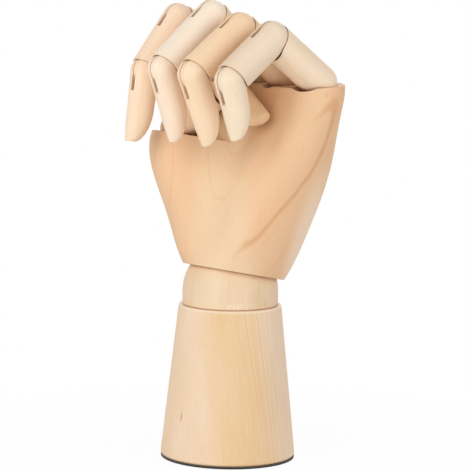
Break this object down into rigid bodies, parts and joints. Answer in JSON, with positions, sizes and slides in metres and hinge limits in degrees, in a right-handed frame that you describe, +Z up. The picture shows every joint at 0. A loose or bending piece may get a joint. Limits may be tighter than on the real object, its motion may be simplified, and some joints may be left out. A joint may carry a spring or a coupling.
{
  "type": "wooden hand mannequin",
  "caption": "Jointed wooden artist's hand on a turned base, closed in a fist; hinged finger and thumb segments, with a wrist ball that lets the palm turn and tilt.",
  "frame": {"origin": "centre of the base underside, on the table", "axes": "+Z up along the base axis, palm side towards -Y, little finger towards +X"},
  "size_m": [0.0535, 0.0488, 0.1283],
  "materials": {
    "wood": "fine sanded, unvarnished pale hardwood",
    "steel": "plain wire and strip",
    "felt": "dark felt"
  },
  "bodies": {
    "base": {"base_cone": "wood", "base_pad": "felt"},
    "wrist": {"wrist_barrel": "wood", "spring_bar": "steel", "tension_spring": "steel"},
    "palm": {"palm": "wood", "screw_eye": "steel", "knuckle_rod": "steel", "index_proximal_tongue": "wood", "middle_proximal_tongue": "wood", "ring_proximal_tongue": "wood", "little_proximal_tongue": "wood", "thumb_proximal_tongue": "wood"},
    "index_proximal": {"index_proximal": "wood", "index_proximal_pins": "steel", "index_middle_tongue": "wood"},
    "index_middle": {"index_middle": "wood", "index_middle_pins": "steel", "index_distal_tongue": "wood"},
    "index_distal": {"index_distal": "wood", "index_distal_pins": "steel"},
    "middle_proximal": {"middle_proximal": "wood", "middle_proximal_pins": "steel", "middle_middle_tongue": "wood"},
    "middle_middle": {"middle_middle": "wood", "middle_middle_pins": "steel", "middle_distal_tongue": "wood"},
    "middle_distal": {"middle_distal": "wood", "middle_distal_pins": "steel"},
    "ring_proximal": {"ring_proximal": "wood", "ring_proximal_pins": "steel", "ring_middle_tongue": "wood"},
    "ring_middle": {"ring_middle": "wood", "ring_middle_pins": "steel", "ring_distal_tongue": "wood"},
    "ring_distal": {"ring_distal": "wood", "ring_distal_pins": "steel"},
    "little_proximal": {"little_proximal": "wood", "little_proximal_pins": "steel", "little_middle_tongue": "wood"},
    "little_middle": {"little_middle": "wood", "little_middle_pins": "steel", "little_distal_tongue": "wood"},
    "little_distal": {"little_distal": "wood", "little_distal_pins": "steel"},
    "thumb_proximal": {"thumb_proximal": "wood", "thumb_proximal_pins": "steel", "thumb_distal_tongue": "wood"},
    "thumb_distal": {"thumb_distal": "wood", "thumb_distal_pins": "steel"}
  },
  "joints": [
    {"name": "wrist_turn", "type": "hinge", "parent": "base", "child": "wrist", "pos_m": [0, 0, 0.0433], "axis": [0, 0, 1], "continuous": true},
    {"name": "wrist_tilt", "type": "hinge", "parent": "wrist", "child": "palm", "pos_m": [0, 0, 0.047], "axis": [1, 0, 0], "range_deg": [-8.14, 31.86]},
    {"name": "index_knuckle", "type": "hinge", "parent": "palm", "child": "index_proximal", "pos_m": [-0.01629, 0.01359, 0.10637], "axis": [1, 0, 0], "range_deg": [-73.6, 5]},
    {"name": "index_mid_joint", "type": "hinge", "parent": "index_proximal", "child": "index_middle", "pos_m": [-0.01629, -0.0069, 0.12254], "axis": [1, 0, 0], "range_deg": [-88.7, 5]},
    {"name": "index_end_joint", "type": "hinge", "parent": "index_middle", "child": "index_distal", "pos_m": [-0.01629, -0.01862, 0.10835], "axis": [1, 0, 0], "range_deg": [-31.5, 5]},
    {"name": "middle_knuckle", "type": "hinge", "parent": "palm", "child": "middle_proximal", "pos_m": [-0.00423, 0.01359, 0.10637], "axis": [1, 0, 0], "range_deg": [-68.8, 5]},
    {"name": "middle_mid_joint", "type": "hinge", "parent": "middle_proximal", "child": "middle_middle", "pos_m": [-0.00423, -0.00518, 0.12392], "axis": [1, 0, 0], "range_deg": [-81.6, 5]},
    {"name": "middle_end_joint", "type": "hinge", "parent": "middle_middle", "child": "middle_distal", "pos_m": [-0.00423, -0.02294, 0.10978], "axis": [1, 0, 0], "range_deg": [-71.5, 5]},
    {"name": "ring_knuckle", "type": "hinge", "parent": "palm", "child": "ring_proximal", "pos_m": [0.00783, 0.01359, 0.10637], "axis": [1, 0, 0], "range_deg": [-74.8, 5]},
    {"name": "ring_mid_joint", "type": "hinge", "parent": "ring_proximal", "child": "ring_middle", "pos_m": [0.00783, -0.00556, 0.12084], "axis": [1, 0, 0], "range_deg": [-71.9, 5]},
    {"name": "ring_end_joint", "type": "hinge", "parent": "ring_middle", "child": "ring_distal", "pos_m": [0.00783, -0.02263, 0.10895], "axis": [1, 0, 0], "range_deg": [-78.7, 5]},
    {"name": "little_knuckle", "type": "hinge", "parent": "palm", "child": "little_proximal", "pos_m": [0.01989, 0.01359, 0.10637], "axis": [1, 0, 0], "range_deg": [-77.9, 5]},
    {"name": "little_mid_joint", "type": "hinge", "parent": "little_proximal", "child": "little_middle", "pos_m": [0.01989, -0.00499, 0.11889], "axis": [1, 0, 0], "range_deg": [-69.9, 5]},
    {"name": "little_end_joint", "type": "hinge", "parent": "little_middle", "child": "little_distal", "pos_m": [0.01989, -0.02013, 0.10791], "axis": [1, 0, 0], "range_deg": [-72.5, 5]},
    {"name": "thumb_root", "type": "hinge", "parent": "palm", "child": "thumb_proximal", "pos_m": [-0.0185, -0.00444, 0.09156], "axis": [0, 0.9787, -0.2055], "range_deg": [-6, 5]},
    {"name": "thumb_end_joint", "type": "hinge", "parent": "thumb_proximal", "child": "thumb_distal", "pos_m": [-0.0023, -0.00153, 0.10539], "axis": [0, 0.9787, -0.2055], "range_deg": [-28, 5]}
  ]
}
